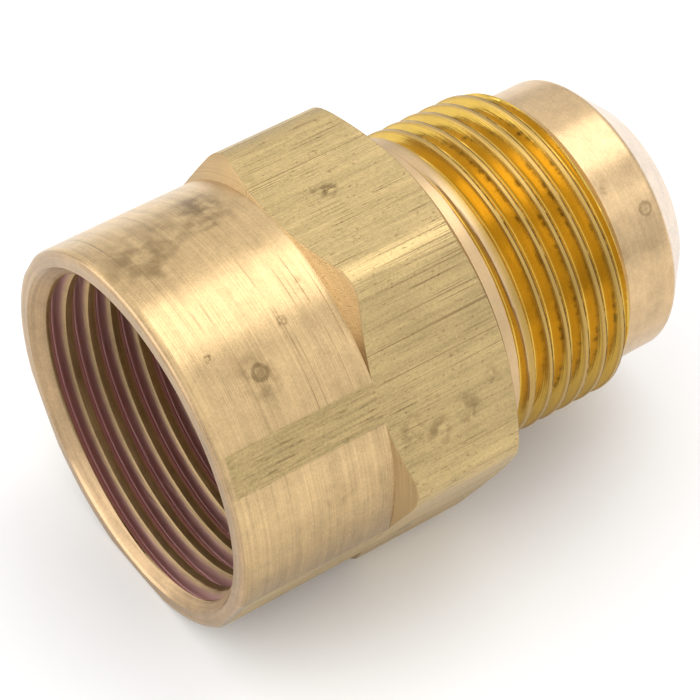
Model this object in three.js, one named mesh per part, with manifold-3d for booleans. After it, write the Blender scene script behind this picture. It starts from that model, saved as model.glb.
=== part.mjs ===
// Flare fitting: a one-piece adapter turned from hexagonal brass bar, with a female taper pipe
// thread at one end and a 45 degree male flare with its nut thread at the other.
// Millimetres, +Z up. The fitting lies on one hex flat with its turned axis along X, the pipe
// socket at the low end. The origin is the middle of the footprint, on the resting surface.
// The one brass body is built as four machined zones that meet face to face on planes across
// the axis: the pipe socket, the wrench hexagon, the threaded shank and the flare nose.
import * as THREE from 'three';
import { mergeVertices } from 'three/addons/utils/BufferGeometryUtils.js';
import Module from 'manifold-3d';

const wasm = await Module();
wasm.setup();

// ---- Driving dimensions ----
// Lengths along the axis, measured from the socket's mouth.
const LENGTH = 42.4;
const BARREL_END = 12.23;
const HEX_END = 22.61;
const CREST_END = 34.1;
const NOSE_START = 35.36;
const CONE_START = 39.43;

// Turned radii.
const BARREL_RADIUS = 14.23;
const BARREL_EDGE_BREAK = 0.2;
const COUNTERSINK_RADIUS = 13.02;
const COUNTERSINK_SLOPE = 1;
const HEX_FACE_RADIUS = 13.87;
const SHANK_RADIUS = 11.9;
const NOSE_RADIUS = 10.64;
const BORE_RADIUS = 7;

// The flare is a 45 degree cone from the nose cylinder to the tip.
const TIP_RADIUS = NOSE_RADIUS - (LENGTH - CONE_START);

// Hexagonal bar: drawn corners, and centred slightly above the turned axis.
const ACROSS_FLATS = 28.06;
const CORNER_ROUND = 3.32;
const BAR_OFFSET = 0.23;
const HEX_BEVEL_SLOPE = Math.tan(Math.PI / 6);

// Both threads: 60 degree flanks. They fade in and out over part of a turn.
const ROOT_FLAT = 0.12;
const FLANK_SLOPE = Math.tan(Math.PI / 6);
const RUNOUT_TURNS = 0.45;

// Nut thread, 15/16 - 16, right hand. A groove's start is where its centre line, carried on at
// full pitch, crosses the +Y side of the axis.
const NUT_PITCH = 25.4 / 16;
const NUT_GROOVE_START = 24.19;
const NUT_GROOVE_DEPTH = 0.89;
const NUT_FIRST_TURN = 0.2;

// Pipe thread, 3/4 - 14 NPT, right hand, taper 1 in 16 on the diameter.
const PIPE_PITCH = 25.4 / 14;
const PIPE_GROOVE_START = 1.85;
const PIPE_GROOVE_DEPTH = 1;
const PIPE_FIRST_TURN = -0.75;
const PIPE_THREAD_END = 11.1;
const PIPE_MINOR_RADIUS = 12.12;
const PIPE_TAPER = 1 / 32;
const TAP_DRILL_RADIUS = 11.6;
const TAP_DRILL_DEPTH = 16.3;
const TAP_DRILL_STEP = 0.45;
const DRILL_POINT_SLOPE = Math.tan(THREE.MathUtils.degToRad(59));

// Facets round a full circle and along each rounded corner, and steps round one turn of a thread.
const FACETS = 60;
const CORNER_FACETS = 6;
const TURN_STEPS = 24;

// How far a cutting solid runs past what it cuts: at its ends, above a thread's surface, and
// short of that surface where a thread starts and stops.
const OVERRUN = 1;
const OVERHANG = 0.35;
const FADE_GAP = 0.1;

const barApothem = ACROSS_FLATS / 2;
const axisHeight = barApothem - BAR_OFFSET;
const drillPointEnd = TAP_DRILL_DEPTH + (TAP_DRILL_RADIUS - BORE_RADIUS) / DRILL_POINT_SLOPE;

// ---- From three.js geometry to solids and back ----
function toSolid(geometry) {
  const bare = geometry.clone();
  bare.deleteAttribute('normal');
  bare.deleteAttribute('uv');
  const merged = mergeVertices(bare);
  return new wasm.Manifold(new wasm.Mesh({
    numProp: 3,
    vertProperties: new Float32Array(merged.attributes.position.array),
    triVerts: new Uint32Array(merged.index.array),
  }));
}

function toGeometry(solid) {
  const mesh = solid.getMesh();
  const geometry = new THREE.BufferGeometry();
  geometry.setAttribute('position', new THREE.BufferAttribute(mesh.vertProperties, 3));
  geometry.setIndex(new THREE.BufferAttribute(mesh.triVerts, 1));
  geometry.computeVertexNormals();
  return geometry;
}

// ---- Shapes ----
const AXIS_X = new THREE.Vector3(1, 0, 0);
const AXIS_Y = new THREE.Vector3(0, 1, 0);
const AXIS_Z = new THREE.Vector3(0, 0, 1);

// A solid of revolution about X from [x, radius] points, from low x to high x.
function turned(outline) {
  const profile = outline.map(([x, radius]) => new THREE.Vector2(radius, x));
  const geometry = new THREE.LatheGeometry(profile, FACETS);
  geometry.applyMatrix4(new THREE.Matrix4().makeBasis(AXIS_Z, AXIS_X, AXIS_Y));
  return toSolid(geometry);
}

// The hexagonal bar between two stations, with a flat on top and rounded corners at the sides.
function hexBar(from, to) {
  const cornerCentre = (barApothem - CORNER_ROUND) / Math.cos(Math.PI / 6);
  const shape = new THREE.Shape();
  for (let corner = 0; corner < 6; corner += 1) {
    const middle = corner * Math.PI / 3;
    const centreY = cornerCentre * Math.cos(middle);
    const centreZ = cornerCentre * Math.sin(middle) + BAR_OFFSET;
    shape.absarc(centreY, centreZ, CORNER_ROUND, middle - Math.PI / 6, middle + Math.PI / 6);
  }
  shape.closePath();
  const options = { depth: to - from, bevelEnabled: false, curveSegments: CORNER_FACETS };
  const geometry = new THREE.ExtrudeGeometry(shape, options);
  geometry.translate(0, 0, from);
  geometry.applyMatrix4(new THREE.Matrix4().makeBasis(AXIS_Y, AXIS_Z, AXIS_X));
  return toSolid(geometry);
}

// A closed mesh that runs along a helix about X. sectionAt(turn) gives four [x, radius] corners.
function helicalCutter(fromTurn, toTurn, sectionAt) {
  const steps = Math.round((toTurn - fromTurn) * TURN_STEPS);
  const positions = [];
  const triangles = [];
  for (let step = 0; step <= steps; step += 1) {
    const turn = fromTurn + (toTurn - fromTurn) * step / steps;
    const angle = turn * 2 * Math.PI;
    for (const [x, radius] of sectionAt(turn)) {
      positions.push(x, radius * Math.cos(angle), radius * Math.sin(angle));
    }
  }
  for (let step = 0; step < steps; step += 1) {
    for (let side = 0; side < 4; side += 1) {
      const here = step * 4 + side;
      const beside = step * 4 + (side + 1) % 4;
      triangles.push(here, beside, beside + 4, here, beside + 4, here + 4);
    }
  }
  const last = steps * 4;
  triangles.push(0, 2, 1, 0, 3, 2, last, last + 1, last + 2, last, last + 2, last + 3);
  const geometry = new THREE.BufferGeometry();
  geometry.setAttribute('position', new THREE.Float32BufferAttribute(positions, 3));
  geometry.setIndex(triangles);
  return toSolid(geometry);
}

// The groove of the nut thread. It starts above the surface and sinks in over the run-out.
function nutThreadGroove() {
  const lastTurn = (NOSE_START + NUT_PITCH - NUT_GROOVE_START) / NUT_PITCH;
  return helicalCutter(NUT_FIRST_TURN, lastTurn, (turn) => {
    const sunk = Math.min(1, (turn - NUT_FIRST_TURN) / RUNOUT_TURNS);
    const bottom = SHANK_RADIUS + FADE_GAP - (NUT_GROOVE_DEPTH + FADE_GAP) * sunk;
    const top = SHANK_RADIUS + OVERHANG;
    const x = NUT_GROOVE_START + turn * NUT_PITCH;
    const half = ROOT_FLAT / 2;
    const wide = half + (top - bottom) * FLANK_SLOPE;
    return [[x - half, bottom], [x + half, bottom], [x + wide, top], [x - wide, top]];
  });
}

// Radius of the pipe thread's crests, which narrow inwards from the mouth.
function pipeMinorAt(x) {
  return PIPE_MINOR_RADIUS - x * PIPE_TAPER;
}

// The groove of the pipe thread. It sinks in at the countersink and dies out before the hexagon.
function pipeThreadGroove() {
  const lastTurn = (PIPE_THREAD_END - PIPE_GROOVE_START) / PIPE_PITCH;
  return helicalCutter(PIPE_FIRST_TURN, lastTurn, (turn) => {
    const x = PIPE_GROOVE_START + turn * PIPE_PITCH;
    const fromEnd = Math.min(turn - PIPE_FIRST_TURN, lastTurn - turn);
    const sunk = Math.min(1, fromEnd / RUNOUT_TURNS);
    const bottom = pipeMinorAt(x) - FADE_GAP + (PIPE_GROOVE_DEPTH + FADE_GAP) * sunk;
    const top = pipeMinorAt(x) - OVERHANG;
    const half = ROOT_FLAT / 2;
    const wide = half + (bottom - top) * FLANK_SLOPE;
    return [[x - wide, top], [x + wide, top], [x + half, bottom], [x - half, bottom]];
  });
}

// ---- The four zones ----
function pipeSocket() {
  const barrel = turned([
    [0, 0], [0, BARREL_RADIUS - BARREL_EDGE_BREAK], [BARREL_EDGE_BREAK, BARREL_RADIUS],
    [BARREL_END, BARREL_RADIUS], [BARREL_END, 0],
  ]);
  const bar = hexBar(-OVERRUN, BARREL_END + OVERRUN);
  const countersinkDepth = COUNTERSINK_RADIUS - PIPE_MINOR_RADIUS;
  const countersinkEnd = countersinkDepth / (COUNTERSINK_SLOPE - PIPE_TAPER);
  const hollow = turned([
    [-OVERRUN, 0], [-OVERRUN, COUNTERSINK_RADIUS + OVERRUN * COUNTERSINK_SLOPE],
    [countersinkEnd, pipeMinorAt(countersinkEnd)],
    [BARREL_END + OVERRUN, pipeMinorAt(BARREL_END + OVERRUN)], [BARREL_END + OVERRUN, 0],
  ]);
  return barrel.intersect(bar).subtract(hollow).subtract(pipeThreadGroove());
}

function wrenchHex() {
  const reach = ACROSS_FLATS / Math.sqrt(3) + OVERRUN;
  const bevelled = turned([
    [BARREL_END, 0], [BARREL_END, BARREL_RADIUS],
    [BARREL_END + (reach - BARREL_RADIUS) * HEX_BEVEL_SLOPE, reach],
    [HEX_END - (reach - HEX_FACE_RADIUS) * HEX_BEVEL_SLOPE, reach],
    [HEX_END, HEX_FACE_RADIUS], [HEX_END, 0],
  ]);
  const hollow = turned([
    [BARREL_END - OVERRUN, 0], [BARREL_END - OVERRUN, pipeMinorAt(BARREL_END - OVERRUN)],
    [BARREL_END, pipeMinorAt(BARREL_END)], [BARREL_END + TAP_DRILL_STEP, TAP_DRILL_RADIUS],
    [TAP_DRILL_DEPTH, TAP_DRILL_RADIUS], [drillPointEnd, BORE_RADIUS],
    [HEX_END + OVERRUN, BORE_RADIUS], [HEX_END + OVERRUN, 0],
  ]);
  const bar = hexBar(BARREL_END - OVERRUN, HEX_END + OVERRUN);
  return bar.intersect(bevelled).subtract(hollow);
}

function throughBore(from, to) {
  return turned([
    [from - OVERRUN, 0], [from - OVERRUN, BORE_RADIUS], [to + OVERRUN, BORE_RADIUS],
    [to + OVERRUN, 0],
  ]);
}

function threadedShank() {
  const blank = turned([
    [HEX_END, 0], [HEX_END, SHANK_RADIUS], [CREST_END, SHANK_RADIUS],
    [NOSE_START, NOSE_RADIUS], [NOSE_START, 0],
  ]);
  return blank.subtract(nutThreadGroove()).subtract(throughBore(HEX_END, NOSE_START));
}

function flareNose() {
  const blank = turned([
    [NOSE_START, 0], [NOSE_START, NOSE_RADIUS], [CONE_START, NOSE_RADIUS],
    [LENGTH, TIP_RADIUS], [LENGTH, 0],
  ]);
  return blank.subtract(throughBore(NOSE_START, LENGTH));
}

// ---- Assembly ----
const brass = {
  turnedBarrel: { color: 0xd8b888, roughness: 0.34, metalness: 1 },
  drawnHex: { color: 0xc9aa74, roughness: 0.5, metalness: 1 },
  cutThread: { color: 0xd6a648, roughness: 0.22, metalness: 1 },
  smoothNose: { color: 0xe6cf9e, roughness: 0.3, metalness: 1 },
};

const zones = [
  ['pipe_socket', pipeSocket(), brass.turnedBarrel],
  ['wrench_hex', wrenchHex(), brass.drawnHex],
  ['threaded_shank', threadedShank(), brass.cutThread],
  ['flare_nose', flareNose(), brass.smoothNose],
];

const fitting = new THREE.Group();
for (const [name, solid, finish] of zones) {
  const mesh = new THREE.Mesh(toGeometry(solid), new THREE.MeshStandardMaterial(finish));
  mesh.name = name;
  mesh.position.set(-LENGTH / 2, 0, axisHeight);
  fitting.add(mesh);
}

export default fitting;
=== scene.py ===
"""Looks of a brass flare fitting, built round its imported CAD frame.

The fitting is one piece of brass in four machined zones. Each zone gets a fine closed mesh that
replaces its CAD node: an outline of (x, radius) points at each angle round the turned axis.
Angles run from +Y towards +Z. Lengths "from the mouth" run along +X from the socket's mouth.
"""

import math

import bmesh
import bpy
import numpy as np
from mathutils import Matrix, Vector


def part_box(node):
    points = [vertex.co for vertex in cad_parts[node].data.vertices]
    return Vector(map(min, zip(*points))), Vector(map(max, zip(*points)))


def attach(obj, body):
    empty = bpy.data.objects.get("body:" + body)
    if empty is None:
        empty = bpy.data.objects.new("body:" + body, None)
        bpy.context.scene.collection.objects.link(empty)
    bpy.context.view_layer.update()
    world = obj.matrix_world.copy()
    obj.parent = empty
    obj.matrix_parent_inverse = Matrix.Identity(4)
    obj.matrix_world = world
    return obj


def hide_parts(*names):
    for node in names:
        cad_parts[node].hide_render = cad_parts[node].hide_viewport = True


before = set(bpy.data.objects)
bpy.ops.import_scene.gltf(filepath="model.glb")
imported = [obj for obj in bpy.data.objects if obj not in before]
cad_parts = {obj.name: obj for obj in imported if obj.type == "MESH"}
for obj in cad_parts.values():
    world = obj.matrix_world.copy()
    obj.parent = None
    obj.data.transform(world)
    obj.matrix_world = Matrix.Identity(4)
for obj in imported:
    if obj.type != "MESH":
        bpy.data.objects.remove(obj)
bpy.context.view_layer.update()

MM = 0.001

# ---- Driving dimensions, from the frame ----
socket_low, socket_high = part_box("pipe_socket")
hex_low, hex_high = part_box("wrench_hex")
shank_low, shank_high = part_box("threaded_shank")
nose_low, nose_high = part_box("flare_nose")

MOUTH = socket_low.x
BARREL_END = hex_low.x
HEX_END = shank_low.x
NOSE_START = nose_low.x
TIP = nose_high.x
LENGTH = TIP - MOUTH
AXIS_Z = (shank_low.z + shank_high.z) / 2

BARREL_RADIUS = socket_high.y
SHANK_RADIUS = shank_high.y
NOSE_RADIUS = nose_high.y
HEX_APOTHEM = (hex_high.z - hex_low.z) / 2
BAR_OFFSET = (hex_high.z + hex_low.z) / 2 - AXIS_Z

# The drawn corner radius that gives the hexagon's width across its rounded corners.
COS_30 = math.cos(math.pi / 6)
CORNER_ROUND = (HEX_APOTHEM / COS_30 - hex_high.y) / (1 / COS_30 - 1)

# ---- Driving dimensions that the boxes don't show ----
COUNTERSINK_RADIUS = 13.02 * MM
COUNTERSINK_SLOPE = 1
HEX_FACE_RADIUS = 13.87 * MM
HEX_BEVEL_SLOPE = math.tan(math.pi / 6)
BORE_RADIUS = 7 * MM
FLARE_LENGTH = 2.97 * MM
TIP_RADIUS = NOSE_RADIUS - FLARE_LENGTH

# Threads are 60 degree grooves with round roots. Starts and ends are lengths from the mouth.
NUT_PITCH = 25.4 * MM / 16
PIPE_PITCH = 25.4 * MM / 14
RUNOUT_TURNS = 0.45
FLANK_SLOPE = math.tan(math.pi / 6)

NUT_GROOVE_START = 24.19 * MM
NUT_GROOVE_DEPTH = 0.9 * MM
NUT_ROOT_ROUND = 0.115 * MM
NUT_CREST_BLEND = 0.02 * MM
NUT_FIRST_TURN = 0.2
CREST_END = NOSE_START - (SHANK_RADIUS - NOSE_RADIUS)
CHAMFER_BLEND = 0.05 * MM

# A hairline groove along the nut thread's crest. Its place and width are shares of the pitch.
HAIRLINE_DEPTH = 0.035 * MM
HAIRLINE_PLACE = -0.42
HAIRLINE_WIDTH = 0.018

PIPE_GROOVE_START = 1.85 * MM
PIPE_GROOVE_DEPTH = 0.88 * MM
PIPE_ROOT_ROUND = 0.1 * MM
PIPE_CREST_BLEND = 0.07 * MM
COUNTERSINK_BLEND = 0.05 * MM
PIPE_MINOR_RADIUS = 12.12 * MM
PIPE_FIRST_TURN = -0.75
PIPE_TAPER = 1 / 32
PIPE_THREAD_END = 11.1 * MM
TAP_DRILL_RADIUS = 11.6 * MM
TAP_DRILL_DEPTH = 16.3 * MM
TAP_DRILL_STEP = 0.45 * MM
DRILL_POINT_SLOPE = math.tan(math.radians(59))

# ---- Mesh fineness ----
TURNED_COLUMNS = 300
CORNER_COLUMNS = 14
FLAT_COLUMNS = 24
FILLET_STEPS = 5
MERGE_DISTANCE = 0.0002 * MM
SHARP_ANGLE = math.radians(38)
EDGE_FLANK = math.radians(0.22)

# Where a thread's outline has points: shares of the pitch from a groove's middle, on one side.
NUT_OFFSETS = [
    0, 0.03, 0.07, 0.12, 0.18, 0.24, 0.29, 0.325, 0.345, 0.36, 0.375, 0.4, 0.44, 0.48,
]
PIPE_OFFSETS = [0, 0.03, 0.07, 0.13, 0.2, 0.28, 0.36, 0.42, 0.45, 0.47, 0.485, 0.495]


# ---- Outlines: arrays of (x, radius) with one row of points for each angle ----
class Corner:
    """A corner of an outline at (x, radius), rounded by `soften`, then `count` points onwards."""

    def __init__(self, x, radius, soften, count):
        self.x = x
        self.radius = radius
        self.soften = soften
        self.count = count

    def at(self, columns):
        pair = np.broadcast_arrays(self.x, self.radius, np.zeros(columns))[:2]
        return np.stack(pair, -1)


def straight(start, end, count):
    """`count` points between two ends, with one close to each end so that flat faces shade flat."""
    if count < 1:
        return np.zeros((len(start), 0, 2))
    steps = np.linspace(0, 1, count + 2)[1:-1]
    if count > 2:
        steps[0] = 0.01
        steps[-1] = 0.99
    return start[:, None] + (end - start)[:, None] * steps[:, None]


def fillet(before, corner, after, soften):
    """A rounded corner, on a curve that leaves each side `soften` away from the corner."""
    ends = []
    for side in (before, after):
        reach = np.linalg.norm(side - corner, axis=1, keepdims=True)
        share = np.minimum(soften / np.maximum(reach, 1e-9), 0.4)
        ends.append(corner + (side - corner) * share)
    step = np.linspace(0, 1, FILLET_STEPS)[:, None]
    first, last = ends[0][:, None], ends[1][:, None]
    return first * (1 - step) ** 2 + corner[:, None] * 2 * step * (1 - step) + last * step**2


def part_ends(part, columns):
    """The first and last point of a part of an outline, in each column."""
    if isinstance(part, Corner):
        return part.at(columns), part.at(columns)
    return part[:, 0], part[:, -1]


def part_points(part, before, after, columns):
    """A part's own points: a corner's fillet or single point, or a ready-made array as it is."""
    if not isinstance(part, Corner):
        return part
    if part.soften:
        return fillet(before, part.at(columns), after, part.soften)
    return part.at(columns)[:, None]


def outline(parts, columns):
    """Joins corners and ready-made point arrays into one closed outline for each column."""
    ends = [part_ends(part, columns) for part in parts]
    runs = []
    for i, part in enumerate(parts):
        after = ends[(i + 1) % len(parts)][0]
        runs.append(part_points(part, ends[i - 1][1], after, columns))
    pieces = []
    for i, part in enumerate(parts):
        pieces.append(runs[i])
        if isinstance(part, Corner):
            onward = runs[(i + 1) % len(parts)][:, 0]
            pieces.append(straight(runs[i][:, -1], onward, part.count))
    return np.concatenate(pieces, axis=1)


def revolve(name, points, angles):
    """A closed mesh object from one closed outline at each angle; the last angle is the first."""
    x = points[..., 0]
    y = points[..., 1] * np.cos(angles)[:, None]
    z = points[..., 1] * np.sin(angles)[:, None] + AXIS_Z
    places = np.stack([x, y, z], -1).reshape(-1, 3)
    index = np.arange(x.size).reshape(x.shape)
    here = index[:-1]
    there = index[1:]
    corners = [here, there, np.roll(there, -1, 1), np.roll(here, -1, 1)]
    faces = np.stack(corners, -1).reshape(-1, 4)
    mesh = bpy.data.meshes.new(name)
    mesh.from_pydata(places.tolist(), [], faces.tolist())
    join_seams(mesh)
    mesh.shade_smooth()
    mesh.set_sharp_from_angle(angle=SHARP_ANGLE)
    piece = bpy.data.objects.new(name, mesh)
    bpy.context.scene.collection.objects.link(piece)
    return piece


def join_seams(mesh):
    """Merges points that share a place, which closes the mesh where the last angle meets the first."""
    edited = bmesh.new()
    edited.from_mesh(mesh)
    bmesh.ops.remove_doubles(edited, verts=edited.verts, dist=MERGE_DISTANCE)
    bmesh.ops.dissolve_degenerate(edited, edges=edited.edges, dist=MERGE_DISTANCE)
    edited.to_mesh(mesh)
    edited.free()


# ---- Shapes round the axis ----
def flat_distances():
    """(angle, distance from the turned axis) of each of the bar's six flats."""
    angles = np.radians(np.arange(30, 390, 60))
    return [(angle, HEX_APOTHEM + BAR_OFFSET * math.sin(angle)) for angle in angles]


def barrel_angles():
    """Even angles round the barrel, with extra ones at both edges of each flat band."""
    angles = list(np.linspace(0, 2 * math.pi, TURNED_COLUMNS + 1))
    for middle, distance in flat_distances():
        if distance < BARREL_RADIUS:
            half = math.acos(distance / BARREL_RADIUS)
            for edge in (middle - half, middle + half):
                angles += [edge - EDGE_FLANK, edge, edge + EDGE_FLANK]
    return np.array(sorted(angles))


def barrel_radius_at(angles):
    """The turned radius, or less where a flat of the bar lies inside it."""
    radius = np.full(len(angles), BARREL_RADIUS)
    for middle, distance in flat_distances():
        across = np.cos(angles - middle)
        to_flat = distance / np.maximum(across, 0.5)
        radius = np.where(across > 0.5, np.minimum(radius, to_flat), radius)
    return radius


def hex_section():
    """Angle and radius about the turned axis of points round the bar, flats and round corners."""
    centre = (HEX_APOTHEM - CORNER_ROUND) / COS_30
    points = []
    for corner in range(7):
        middle = corner * math.pi / 3
        turn = np.linspace(-math.pi / 6, math.pi / 6, CORNER_COLUMNS + 1) + middle
        y = centre * math.cos(middle) + CORNER_ROUND * np.cos(turn)
        z = centre * math.sin(middle) + CORNER_ROUND * np.sin(turn)
        arc = np.stack([y, z], -1)
        if points:
            points.append(straight(points[-1][-1:], arc[:1], FLAT_COLUMNS)[0])
        points.append(arc)
    ring = np.concatenate(points)[: -CORNER_COLUMNS]
    ring[:, 1] += BAR_OFFSET
    angles = np.unwrap(np.arctan2(ring[:, 1], ring[:, 0]))
    return angles, np.hypot(ring[:, 0], ring[:, 1])


def soft_max(a, b, blend):
    """The larger of two values, with a round blend where they cross."""
    return (a + b + np.sqrt((a - b) ** 2 + blend**2)) / 2


def both_sides(offsets):
    """Offsets on both sides of a groove's middle, in order."""
    return [-offset for offset in reversed(offsets) if offset > 0] + offsets


def groove_positions(angles, start, pitch, offsets, low, high):
    """Places along the axis that follow a thread's grooves, kept between low and high."""
    turns = angles / (2 * math.pi)
    first = math.floor((low - MOUTH - start) / pitch) - 1
    last = math.ceil((high - MOUTH - start) / pitch) + 1
    middles = MOUTH + start + pitch * (turns[:, None] + np.arange(first, last + 1))
    across = np.array(both_sides(offsets)) * pitch
    places = (middles[..., None] + across).reshape(len(angles), -1)
    return np.clip(places, low, high)


def from_groove(x, angles, start, pitch):
    """Signed distance to the nearest groove's middle, and that groove's turn count there."""
    turns = (angles / (2 * math.pi))[:, None]
    along = (x - MOUTH - start) / pitch
    nearest = np.round(along - turns)
    return (along - turns - nearest) * pitch, turns + nearest


def groove_depth(distance, full_depth, root_round, blend):
    """Depth of a 60 degree groove with a round root, at a distance from its middle."""
    side = np.sqrt(distance**2 + root_round**2) - root_round
    return soft_max(full_depth - side / FLANK_SLOPE, 0, blend)


# ---- The four pieces ----
def pipe_minor_at(x):
    return PIPE_MINOR_RADIUS - (x - MOUTH) * PIPE_TAPER


def socket_inside(angles):
    """The countersink and the pipe thread, from the hexagon out to the mouth."""
    thread = (PIPE_GROOVE_START, PIPE_PITCH)
    x = groove_positions(angles, *thread, PIPE_OFFSETS, MOUTH, BARREL_END)[:, ::-1]
    distance, turn = from_groove(x, angles, *thread)
    last_turn = (PIPE_THREAD_END - PIPE_GROOVE_START) / PIPE_PITCH
    from_end = np.minimum(turn - PIPE_FIRST_TURN, last_turn - turn)
    sunk = np.clip(from_end / RUNOUT_TURNS, 0, 1)
    depth = groove_depth(distance, PIPE_GROOVE_DEPTH * sunk, PIPE_ROOT_ROUND, PIPE_CREST_BLEND)
    threaded = pipe_minor_at(x) + np.where(sunk > 0, depth, 0)
    countersink = COUNTERSINK_RADIUS - (x - MOUTH) * COUNTERSINK_SLOPE
    radius = soft_max(threaded, countersink, COUNTERSINK_BLEND)
    radius = np.where(x <= MOUTH, COUNTERSINK_RADIUS, radius)
    radius = np.where(x >= BARREL_END, pipe_minor_at(BARREL_END), radius)
    return np.stack([x, radius], -1)


def socket_piece():
    angles = barrel_angles()
    outer = barrel_radius_at(angles)
    parts = [
        Corner(MOUTH, outer, 0.6 * MM, 24),
        Corner(BARREL_END, outer, 0, 1),
        socket_inside(angles),
        Corner(MOUTH, COUNTERSINK_RADIUS, 0.06 * MM, 4),
    ]
    return revolve("socket_barrel", outline(parts, len(angles)), angles)


def hex_piece():
    angles, bar = hex_section()
    start = np.minimum(bar, BARREL_RADIUS)
    end = np.minimum(bar, HEX_FACE_RADIUS)
    bevel_top = BARREL_END + (bar - start) * HEX_BEVEL_SLOPE
    face_top = HEX_END - (bar - end) * HEX_BEVEL_SLOPE
    drill_end = MOUTH + TAP_DRILL_DEPTH
    point_end = drill_end + (TAP_DRILL_RADIUS - BORE_RADIUS) / DRILL_POINT_SLOPE
    parts = [
        Corner(BARREL_END, start, 0, 6),
        Corner(bevel_top, bar, 0.07 * MM, 26),
        Corner(face_top, bar, 0.1 * MM, 4),
        Corner(HEX_END, end, 0.05 * MM, 8),
        Corner(HEX_END, BORE_RADIUS, 0, 8),
        Corner(point_end, BORE_RADIUS, 0.1 * MM, 5),
        Corner(drill_end, TAP_DRILL_RADIUS, 0.1 * MM, 5),
        Corner(BARREL_END + TAP_DRILL_STEP, TAP_DRILL_RADIUS, 0.03 * MM, 2),
        Corner(BARREL_END, pipe_minor_at(BARREL_END), 0, 3),
    ]
    return revolve("wrench_hexagon", outline(parts, len(angles)), angles)


def shank_outside(angles):
    """The plain land, the nut thread and the lead chamfer, from the hexagon to the nose."""
    thread = (NUT_GROOVE_START, NUT_PITCH)
    x = groove_positions(angles, *thread, NUT_OFFSETS, HEX_END, NOSE_START)
    distance, turn = from_groove(x, angles, *thread)
    sunk = np.clip((turn - NUT_FIRST_TURN) / RUNOUT_TURNS, 0, 1)
    depth = groove_depth(distance, NUT_GROOVE_DEPTH * sunk, NUT_ROOT_ROUND, NUT_CREST_BLEND)
    from_hairline = (distance / NUT_PITCH - HAIRLINE_PLACE) / HAIRLINE_WIDTH
    hairline = HAIRLINE_DEPTH * np.exp(-(from_hairline**2))
    depth = np.where(sunk > 0, depth, 0) + hairline * (sunk >= 1)
    chamfer = SHANK_RADIUS - (x - CREST_END)
    radius = -soft_max(-(SHANK_RADIUS - depth), -chamfer, CHAMFER_BLEND)
    radius = np.where(x <= HEX_END, SHANK_RADIUS, radius)
    radius = np.where(x >= NOSE_START, NOSE_RADIUS, radius)
    return np.stack([x, radius], -1)


def shank_piece():
    angles = np.linspace(0, 2 * math.pi, TURNED_COLUMNS + 1)
    parts = [
        shank_outside(angles),
        Corner(NOSE_START, BORE_RADIUS, 0, 12),
        Corner(HEX_END, BORE_RADIUS, 0, 1),
    ]
    return revolve("nut_thread", outline(parts, len(angles)), angles)


def nose_piece():
    angles = np.linspace(0, 2 * math.pi, TURNED_COLUMNS + 1)
    parts = [
        Corner(NOSE_START, NOSE_RADIUS, 0, 10),
        Corner(TIP - FLARE_LENGTH, NOSE_RADIUS, 0.25 * MM, 12),
        Corner(TIP, TIP_RADIUS, 0.12 * MM, 4),
        Corner(TIP, BORE_RADIUS, 0.08 * MM, 8),
        Corner(NOSE_START, BORE_RADIUS, 0, 3),
    ]
    return revolve("flare_nose_cone", outline(parts, len(angles)), angles)


# ---- Materials ----
# The materials' unit of length, a little under a millimetre. All places and sizes from here to
# the assembly are in it, except a bump's height.
BARREL_UNITS = 16.08
UNIT = BARREL_RADIUS / BARREL_UNITS

BARREL_BRASS = (0.59, 0.415, 0.212)
DRAWN_BRASS = (0.555, 0.41, 0.193)
SHOULDER_BRASS = (0.46, 0.31, 0.145)
SHOULDER_SHADE = (0.2, 0.11, 0.04)
GROOVE_BRASS = (0.68, 0.445, 0.085)
CREST_BRASS = (0.50, 0.325, 0.095)
NOSE_BRASS = (0.63, 0.445, 0.245)
CONE_BRASS = (0.76, 0.61, 0.47)
# Painted shade: a darker copy of the brass for the mouth's end face and countersink.
MOUTH_SHADED_BRASS = (0.42, 0.29, 0.165)
TARNISH = (0.19, 0.12, 0.052)
# Painted shade deep in the pipe thread's grooves.
PAINTED_GROOVE_SHADE = (0.54, 0.31, 0.30)
RESIDUE = (0.07, 0.035, 0.012)
SEAM = (0.13, 0.07, 0.02)

# Stains and ring-shaped stains, as (x from the mouth, degrees round the axis, size, strength).
BARREL_STAINS = [
    (10.8, 73, 3.4, 0.7),
    (9.4, 80, 2.0, 0.5),
    (6.6, 77, 2.6, 0.4),
    (3.6, 82, 4.5, 0.65),
    (5.6, 129, 2.4, 0.6),
    (2.9, 119, 0.5, 0.8),
    (12.2, 112, 1.0, 0.35),
    (9.4, 119, 0.7, 0.5),
    (3.0, 150, 1.4, 0.35),
    (8.4, 171, 1.8, 0.3),
    (6.0, 240, 3.0, 0.5),
    (9.0, 10, 2.5, 0.5),
    (4.0, 320, 2.2, 0.4),
]
BARREL_RINGS = [(5.95, 128.3, 0.68, 0.55), (9.45, 118.5, 0.4, 0.3)]
HEX_STAINS = [
    (18.8, 89, 1.3, 0.9),
    (18.8, 108, 0.6, 0.6),
    (15.0, 73, 1.6, 0.4),
    (17.3, 132, 1.0, 0.4),
    (15.8, 161, 1.6, 0.6),
    (18.0, 166, 2.0, 0.7),
    (21.0, 164, 1.6, 0.6),
    (23.6, 158, 1.2, 0.4),
    (20.0, 30, 2.2, 0.6),
    (18.0, 215, 2.4, 0.6),
    (21.0, 330, 2.0, 0.5),
]
NOSE_STAINS = [(43.3, 138, 1.3, 0.3), (40.6, 125, 0.5, 0.4), (41.5, 250, 2.5, 0.4)]
NOSE_RINGS = [(43.35, 138, 0.6, 0.4)]

# Dark specks on the nut thread, as (x from the mouth, degrees round the axis, size).
THREAD_SPECKS = [(36.3, 89, 0.16), (32.6, 78, 0.16), (34.8, 179, 0.2)]
SPECK_SINK = 0.4

# Places along the shank, from the mouth.
LAND_END = 28.3
THREAD_MARKS_START = 29.6
THREAD_MARKS_END = 38.6

# Degrees round the axis between which the hexagon's shoulders are darker.
SHADE_START = 137
SHADE_END = 149


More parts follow.
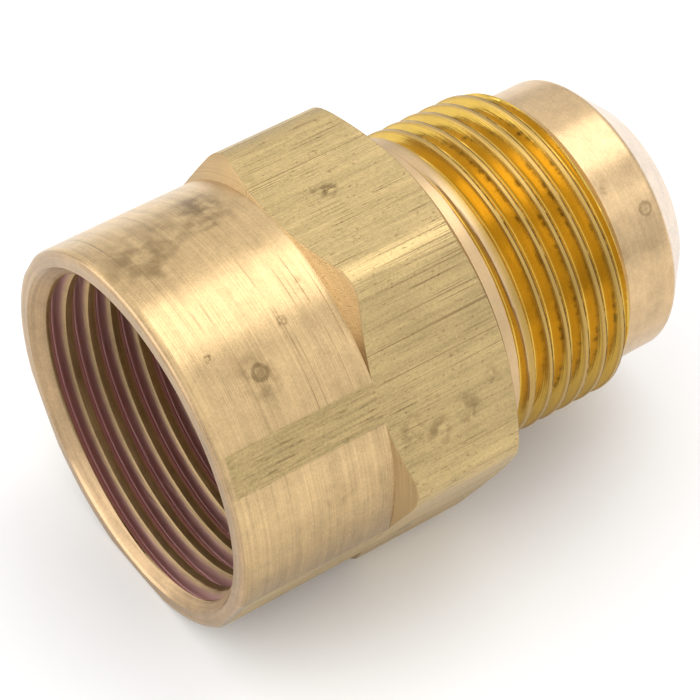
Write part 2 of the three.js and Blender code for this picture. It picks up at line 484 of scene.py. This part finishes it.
class Graph:
    """A material's node tree. An input can be a socket, a number or a tuple."""

    def __init__(self, name):
        self.material = bpy.data.materials.new(name)
        self.material.use_nodes = True
        self.tree = self.material.node_tree
        self.shader = self.tree.nodes["Principled BSDF"]

    def node(self, kind, inputs=(), output=0, **settings):
        made = self.tree.nodes.new(kind)
        for key, value in settings.items():
            setattr(made, key, value)
        for key, value in dict(inputs).items():
            self.put(made.inputs[key], value)
        return made.outputs[output]

    def put(self, socket, value):
        if isinstance(value, bpy.types.NodeSocket):
            self.tree.links.new(value, socket)
        else:
            socket.default_value = value

    def finish(self, **values):
        for key, value in values.items():
            self.put(self.shader.inputs[key.replace("_", " ").title()], value)
        return self.material

    def math(self, operation, *values):
        return self.node("ShaderNodeMath", enumerate(values), operation=operation)

    def vector(self, operation, *values, output=0):
        return self.node("ShaderNodeVectorMath", enumerate(values), output, operation=operation)

    def scaled(self, vector, factor):
        inputs = {0: vector, "Scale": factor}
        return self.node("ShaderNodeVectorMath", inputs, operation="SCALE")

    def split(self, vector):
        """The x, y and z of a vector."""
        made = self.tree.nodes.new("ShaderNodeSeparateXYZ")
        self.put(made.inputs[0], vector)
        return made.outputs

    def add(self, *values):
        total = values[0]
        for value in values[1:]:
            total = self.math("ADD", total, value)
        return total

    def multiply(self, *values):
        product = values[0]
        for value in values[1:]:
            product = self.math("MULTIPLY", product, value)
        return product

    def blend(self, start, *parts):
        """The start value plus the value of each (value, share) part times its share."""
        return self.add(start, *[self.multiply(value, share) for value, share in parts])

    def ramp(self, value, start, end, low=0.0, high=1.0):
        """Goes smoothly from low to high as the value goes from start to end."""
        inputs = {"Value": value, "From Min": start, "From Max": end, "To Min": low, "To Max": high}
        return self.node("ShaderNodeMapRange", inputs, interpolation_type="SMOOTHSTEP")

    def band(self, value, low, high, soft):
        """1 between low and high, with soft sides."""
        return self.multiply(self.ramp(value, low - soft, low), self.ramp(value, high + soft, high))

    def mix(self, share, first, second):
        """Mixes two colours, each a socket or (r, g, b)."""
        colours = [(*c, 1) if isinstance(c, tuple) else c for c in (first, second)]
        inputs = {0: share, 6: colours[0], 7: colours[1]}
        return self.node("ShaderNodeMix", inputs, 2, data_type="RGBA")

    def noise(self, vector, scale, detail=2.0, roughness=0.5):
        inputs = {"Vector": vector, "Scale": scale, "Detail": detail, "Roughness": roughness}
        return self.node("ShaderNodeTexNoise", inputs)

    def bump(self, height, distance, strength):
        inputs = {"Height": height, "Distance": distance, "Strength": strength}
        return self.node("ShaderNodeBump", inputs)


class Surface(Graph):
    """A graph with places on the fitting: x from the mouth, radius and angle about the axis."""

    def __init__(self, name):
        super().__init__(name)
        local = self.node("ShaderNodeTexCoord", output=3)
        centred = self.vector("SUBTRACT", local, (MOUTH, 0, AXIS_Z))
        self.place = self.scaled(centred, 1 / UNIT)
        self.x, self.y, self.z = self.split(self.place)
        squares = self.add(self.multiply(self.y, self.y), self.multiply(self.z, self.z))
        self.radius = self.math("SQRT", squares)
        self.angle = self.math("ARCTAN2", self.z, self.y)
        # Constant along a turning mark on a cylinder, a face or a cone.
        self.station = self.add(self.x, self.multiply(self.radius, 0.37))
        self.around = self.vector("NORMALIZE", self.vector("MULTIPLY", self.place, (0, 1, 1)))
        self.grain = self.noise(self.place, 5.0, 3.0)
        self.cloud = self.noise(self.place, 0.25, 3.0)
        self.mottle = self.noise(self.place, 0.9, 4.0, 0.6)

    def facing_along(self):
        """How squarely the surface faces along the axis, from 0 to 1."""
        normal = self.node("ShaderNodeNewGeometry", output=1)
        return self.math("ABSOLUTE", self.split(normal)[0])

    def turning(self, per_unit, wander, detail=2.0):
        """Fine lines round the axis, per_unit along it, that change slowly round it by `wander`."""
        spread = self.scaled(self.around, wander)
        lines = self.node("ShaderNodeCombineXYZ", {0: self.multiply(self.station, per_unit)})
        return self.noise(self.vector("ADD", spread, lines), 1.0, detail)

    def drawing(self, per_unit, length, detail=2.0):
        """Fine lines along the axis, per_unit across and about `length` long."""
        stretched = self.vector("MULTIPLY", self.place, (1 / length, per_unit, per_unit))
        return self.noise(stretched, 1.0, detail)

    def distance_to(self, x, degrees, radius, ragged, scale):
        """Distance to a place on the surface, with a ragged error of up to about `ragged`."""
        turn = math.radians(degrees)
        centre = (x, radius * math.cos(turn), radius * math.sin(turn))
        inputs = {"Vector": self.place, "Scale": scale, "Detail": 3.0}
        wobble = self.node("ShaderNodeTexNoise", inputs, 1)
        shifted = self.scaled(self.vector("SUBTRACT", wobble, (0.5, 0.5, 0.5)), ragged * 4)
        return self.vector("DISTANCE", self.vector("ADD", self.place, shifted), centre, output=1)

    def stain(self, colour, radius, stains):
        """Adds ragged, patchy stains to a colour, on a surface at a radius."""
        for x, degrees, size, strength in stains:
            near = self.distance_to(x, degrees, radius, size * 0.35, 0.9 / size)
            patchy = self.ramp(self.noise(self.place, 2.2 / size, 3.0), 0.36, 0.62)
            share = self.multiply(self.ramp(near, size, size * 0.25), patchy, strength)
            colour = self.mix(share, colour, TARNISH)
        return colour

    def ring_stain(self, colour, radius, stains):
        """Adds ring-shaped stains to a colour, on a surface at a radius."""
        for x, degrees, size, strength in stains:
            near = self.distance_to(x, degrees, radius, size * 0.12, 1.6 / size)
            ring = self.band(near, size * 0.72, size * 0.95, size * 0.22)
            colour = self.mix(self.multiply(ring, strength), colour, TARNISH)
        return colour


def barrel_skin(graph, radius):
    """Where the bar's own skin shows on the barrel's flat bands, and its colour."""
    sunk = graph.math("SUBTRACT", radius, graph.radius)
    outside = graph.multiply(graph.ramp(sunk, 0.002, 0.012), graph.ramp(sunk, 0.9, 0.7))
    share = graph.multiply(outside, graph.ramp(graph.x, 0.7, 0.76))
    streaks = graph.drawing(5.0, 4.0, 4.0)
    flecks = graph.ramp(graph.drawing(5.0, 1.6, 3.0), 0.57, 0.70)
    tone = graph.blend(0.16, (streaks, 0.9), (graph.grain, 0.6))
    clean = graph.scaled(DRAWN_BRASS, tone)
    return share, graph.mix(graph.multiply(flecks, 0.55), clean, TARNISH)


def mouth_painted_shade(graph, colour, tone, inside):
    """Paints shade on the mouth's end face and countersink, and paints shade into the pipe thread's
    grooves.
    """
    face = graph.ramp(graph.facing_along(), 0.35, 0.65)
    mouth = graph.multiply(face, graph.ramp(graph.x, 2.0, 1.2))
    # Painted shade on the end face and the countersink near the mouth.
    colour = graph.mix(mouth, colour, graph.scaled(MOUTH_SHADED_BRASS, tone))
    crest = graph.blend(PIPE_MINOR_RADIUS / UNIT, (graph.x, -PIPE_TAPER))
    countersink = graph.blend(COUNTERSINK_RADIUS / UNIT, (graph.x, -COUNTERSINK_SLOPE))
    deeper = graph.math("SUBTRACT", graph.radius, graph.math("MAXIMUM", crest, countersink))
    # Painted shade in the pipe thread's grooves, darker the deeper it goes.
    groove = graph.multiply(graph.ramp(deeper, 0.05, 0.6), inside)
    return graph.mix(graph.multiply(groove, 0.92), colour, PAINTED_GROOVE_SHADE)


def turned_brass():
    """The barrel: turning marks, tarnish, the bar's own skin on its flat bands, and painted shade low
    down, on the mouth and in the pipe thread.
    """
    graph = Surface("brass_turned")
    fine = graph.turning(11, 1.2)
    broad = graph.turning(1.8, 0.8)
    clouds = [(graph.cloud, 0.5), (graph.grain, 0.4), (graph.mottle, 0.4)]
    tone = graph.blend(-0.15, (fine, 0.65), (broad, 0.4), *clouds)
    # Painted shade: the barrel's brass gets darker towards its underside.
    painted_low_shade = graph.ramp(graph.z, 7.0, -7.0, 1.0, 0.58)
    colour = graph.scaled(BARREL_BRASS, graph.multiply(tone, painted_low_shade))

    scores = graph.ramp(graph.turning(7, 0.9, 1.0), 0.66, 0.74)
    scores = graph.multiply(scores, graph.ramp(graph.cloud, 0.36, 0.6))
    colour = graph.mix(graph.multiply(scores, 0.5), colour, TARNISH)
    colour = graph.stain(colour, BARREL_UNITS, BARREL_STAINS)
    colour = graph.ring_stain(colour, BARREL_UNITS, BARREL_RINGS)
    skin, skin_colour = barrel_skin(graph, BARREL_UNITS)
    colour = graph.mix(skin, colour, skin_colour)
    inside = graph.multiply(graph.ramp(graph.radius, 15.5, 15.2), graph.ramp(graph.x, 0.1, 0.4))
    colour = mouth_painted_shade(graph, colour, tone, inside)

    roughness = graph.blend(0.17, (graph.cloud, 0.2), (skin, 0.18), (inside, 0.18))
    height = graph.blend(fine, (broad, 0.7), (scores, -0.8))
    normal = graph.bump(height, 0.02 * MM, 0.6)
    return graph.finish(base_color=colour, metallic=1.0, roughness=roughness, normal=normal)


def drawn_marks(graph):
    """Dark scores along the bar, long and short, and pits."""
    patchy = graph.ramp(graph.noise(graph.place, 0.3, 2.0), 0.38, 0.6)
    scores = graph.multiply(graph.ramp(graph.drawing(9, 14, 3.0), 0.585, 0.70), patchy)
    long_scores = graph.ramp(graph.drawing(5, 40, 1.0), 0.64, 0.72)
    pits = graph.ramp(graph.drawing(4.5, 0.5), 0.62, 0.74)
    return graph.blend(0.0, (scores, 0.75), (long_scores, 0.6), (pits, 0.5))


def shoulder_colour(graph):
    """The colour of the hexagon's turned shoulders, with one darker stretch."""
    lines = graph.turning(9, 1.2)
    tone = graph.blend(0.5, (lines, 0.5), (graph.cloud, 0.4))
    degrees = graph.multiply(graph.angle, 180 / math.pi)
    shade = graph.band(degrees, SHADE_START, SHADE_END, 10)
    return graph.mix(graph.multiply(shade, 0.8), graph.scaled(SHOULDER_BRASS, tone), SHOULDER_SHADE)


def drawn_brass():
    """The hexagon: drawn streaks and scores along the bar, pits, and turned shoulders."""
    graph = Surface("brass_drawn")
    fine = graph.drawing(9, 4, 3.0)
    broad = graph.drawing(1.6, 14)
    tone = graph.blend(0.07, (fine, 0.5), (broad, 0.5), (graph.cloud, 0.3), (graph.grain, 0.55))
    marks = drawn_marks(graph)
    colour = graph.mix(marks, graph.scaled(DRAWN_BRASS, tone), TARNISH)
    colour = graph.stain(colour, HEX_APOTHEM / UNIT, HEX_STAINS)
    turned = graph.ramp(graph.facing_along(), 0.25, 0.4)
    colour = graph.mix(turned, colour, shoulder_colour(graph))

    roughness = graph.blend(0.26, (graph.cloud, 0.2), (marks, 0.2))
    height = graph.blend(fine, (broad, 0.9), (marks, -1.0))
    normal = graph.bump(height, 0.025 * MM, 0.7)
    return graph.finish(base_color=colour, metallic=1.0, roughness=roughness, normal=normal)


def thread_marks(graph, colour):
    """Adds a dark line down each groove and crest edge and crumbs of residue, and returns both."""
    turns = graph.multiply(graph.angle, 1 / (2 * math.pi))
    along = graph.multiply(graph.add(graph.x, -NUT_GROOVE_START / UNIT), UNIT / NUT_PITCH)
    phase = graph.math("FRACT", graph.math("SUBTRACT", along, turns))
    threaded = graph.band(graph.x, THREAD_MARKS_START, THREAD_MARKS_END, 0.5)
    valley = graph.band(phase, 0.555, 0.59, 0.02)
    edge = graph.band(phase, 0.645, 0.68, 0.02)
    worn = graph.ramp(graph.noise(graph.place, 0.8, 3.0), 0.30, 0.45)
    lines = graph.blend(graph.multiply(valley, 0.9), (edge, 0.8))
    colour = graph.mix(graph.multiply(lines, worn, threaded), colour, SEAM)
    crumbs = graph.ramp(graph.noise(graph.place, 2.4, 3.0), 0.48, 0.56)
    clumps = graph.ramp(graph.noise(graph.place, 0.33, 2.0), 0.40, 0.52)
    residue = graph.multiply(graph.band(phase, 0.60, 0.71, 0.03), crumbs, clumps, threaded)
    return graph.mix(residue, colour, RESIDUE), residue


def thread_brass():
    """The nut thread: bright golden grooves, satin crests and land, dark residue by the crests."""
    graph = Surface("brass_thread")
    shank = SHANK_RADIUS / UNIT
    fine = graph.turning(10, 1.0)
    tone = graph.blend(0.56, (fine, 0.22), (graph.cloud, 0.4), (graph.grain, 0.2))
    depth = graph.math("SUBTRACT", shank, graph.radius)
    groove = graph.multiply(graph.ramp(depth, 0.04, 0.25), graph.ramp(depth, 3.0, 2.5))
    land = graph.ramp(graph.x, LAND_END + 0.6, LAND_END)
    outer = graph.mix(land, CREST_BRASS, NOSE_BRASS)
    colour = graph.scaled(graph.mix(groove, outer, GROOVE_BRASS), tone)
    colour, residue = thread_marks(graph, colour)
    for x, degrees, size in THREAD_SPECKS:
        near = graph.distance_to(x, degrees, shank - SPECK_SINK, 0.05, 3.0)
        colour = graph.mix(graph.ramp(near, size + 0.12, size), colour, RESIDUE)

    roughness = graph.blend(0.3, (graph.cloud, 0.14), (groove, -0.16), (residue, 0.4))
    height = graph.blend(fine, (residue, 1.5), (graph.cloud, 0.5))
    normal = graph.bump(height, 0.015 * MM, 0.6)
    return graph.finish(base_color=colour, metallic=1.0, roughness=roughness, normal=normal)


def nose_brass():
    """The nose and cone: smooth satin with faint turning marks, paler on the cone."""
    graph = Surface("brass_nose")
    fine = graph.turning(10, 1.0)
    broad = graph.turning(1.3, 0.8)
    clouds = [(graph.cloud, 0.45), (graph.grain, 0.35), (graph.mottle, 0.45)]
    tone = graph.blend(0.12, (fine, 0.3), (broad, 0.2), *clouds)
    cone_start = (TIP - FLARE_LENGTH - MOUTH) / UNIT
    cone = graph.ramp(graph.x, cone_start - 0.05, cone_start + 0.25)
    colour = graph.scaled(graph.mix(cone, NOSE_BRASS, CONE_BRASS), tone)
    colour = graph.ring_stain(colour, NOSE_RADIUS / UNIT, NOSE_RINGS)
    colour = graph.stain(colour, NOSE_RADIUS / UNIT, NOSE_STAINS)
    roughness = graph.blend(0.2, (graph.cloud, 0.16))
    normal = graph.bump(fine, 0.008 * MM, 0.5)
    return graph.finish(base_color=colour, metallic=1.0, roughness=roughness, normal=normal)


# ---- Assembly ----
def add_piece(piece, node, material):
    piece.data.materials.append(material)
    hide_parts(node)
    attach(piece, "root")


add_piece(socket_piece(), "pipe_socket", turned_brass())
add_piece(hex_piece(), "wrench_hex", drawn_brass())
add_piece(shank_piece(), "threaded_shank", thread_brass())
add_piece(nose_piece(), "flare_nose", nose_brass())


# ---- Studio ----
CAMERA_LENS = 151
CAMERA_SENSOR = 36
CAMERA_NEAR = 0.01
CAMERA_HEADING = math.radians(35.3)
CAMERA_DROP = math.radians(45.64)
CAMERA_DISTANCE = 5.05 * LENGTH
CAMERA_TARGET = Vector((-0.49, 3.47, 9.0)) * UNIT

FLOOR_HALF = 1.5
FLOOR_COLOUR = (0.94, 0.94, 0.94, 1)
FLOOR_ROUGHNESS = 0.9

# The sky's strength goes from "To Min" at the horizon to "To Max" at the height "From Max".
SKY = {"From Min": 0.0, "From Max": 0.45, "To Min": 0.78, "To Max": 1.06}

# Softboxes, as (name, direction from the fitting, (width, height), power in watts).
SOFTBOX_DISTANCE = 0.5
SOFTBOXES = [
    ("overhead", (0.42, 0.08, 0.9), (0.3, 0.3), 0.42),
    ("side", (0.55, -0.55, 0.63), (0.08, 0.1), 0.03),
    ("front", (-0.82, 0.42, 0.4), (0.8, 0.3), 1.3),
]


def add_floor():
    corners = [(-1, -1), (1, -1), (1, 1), (-1, 1)]
    points = [(x * FLOOR_HALF, y * FLOOR_HALF, 0) for x, y in corners]
    mesh = bpy.data.meshes.new("floor")
    mesh.from_pydata(points, [], [(0, 1, 2, 3)])
    floor = bpy.data.objects.new("floor", mesh)
    bpy.context.scene.collection.objects.link(floor)
    graph = Graph("floor_paper")
    mesh.materials.append(graph.finish(base_color=FLOOR_COLOUR, roughness=FLOOR_ROUGHNESS))


def add_camera():
    camera = bpy.data.objects.new("camera", bpy.data.cameras.new("camera"))
    bpy.context.scene.collection.objects.link(camera)
    camera.data.lens = CAMERA_LENS
    camera.data.sensor_width = CAMERA_SENSOR
    camera.data.clip_start = CAMERA_NEAR
    level = math.cos(CAMERA_DROP)
    x = math.sin(CAMERA_HEADING) * level
    y = math.cos(CAMERA_HEADING) * level
    ahead = Vector((x, y, -math.sin(CAMERA_DROP)))
    camera.location = CAMERA_TARGET - ahead * CAMERA_DISTANCE
    camera.rotation_mode = "QUATERNION"
    camera.rotation_quaternion = ahead.to_track_quat("-Z", "Y")
    bpy.context.scene.camera = camera


def add_softbox(name, toward, size, power):
    light = bpy.data.lights.new(name, "AREA")
    light.shape = "RECTANGLE"
    light.size, light.size_y = size
    light.energy = power
    lamp = bpy.data.objects.new(name, light)
    bpy.context.scene.collection.objects.link(lamp)
    direction = Vector(toward).normalized()
    lamp.location = direction * SOFTBOX_DISTANCE
    lamp.rotation_mode = "QUATERNION"
    lamp.rotation_quaternion = direction.to_track_quat("Z", "Y")


def add_sky():
    """A white studio sky, a little darker towards the horizon."""
    world = bpy.data.worlds.new("studio")
    world.use_nodes = True
    tree = world.node_tree
    direction = tree.nodes.new("ShaderNodeTexCoord")
    split = tree.nodes.new("ShaderNodeSeparateXYZ")
    tree.links.new(direction.outputs["Generated"], split.inputs[0])
    strength = tree.nodes.new("ShaderNodeMapRange")
    strength.interpolation_type = "SMOOTHSTEP"
    tree.links.new(split.outputs["Z"], strength.inputs["Value"])
    for name, value in SKY.items():
        strength.inputs[name].default_value = value
    tree.links.new(strength.outputs[0], tree.nodes["Background"].inputs["Strength"])
    tree.nodes["Background"].inputs["Color"].default_value = (1, 1, 1, 1)
    bpy.context.scene.world = world


bpy.context.scene.view_settings.view_transform = "Standard"
add_floor()
add_camera()
add_sky()
for softbox in SOFTBOXES:
    add_softbox(*softbox)
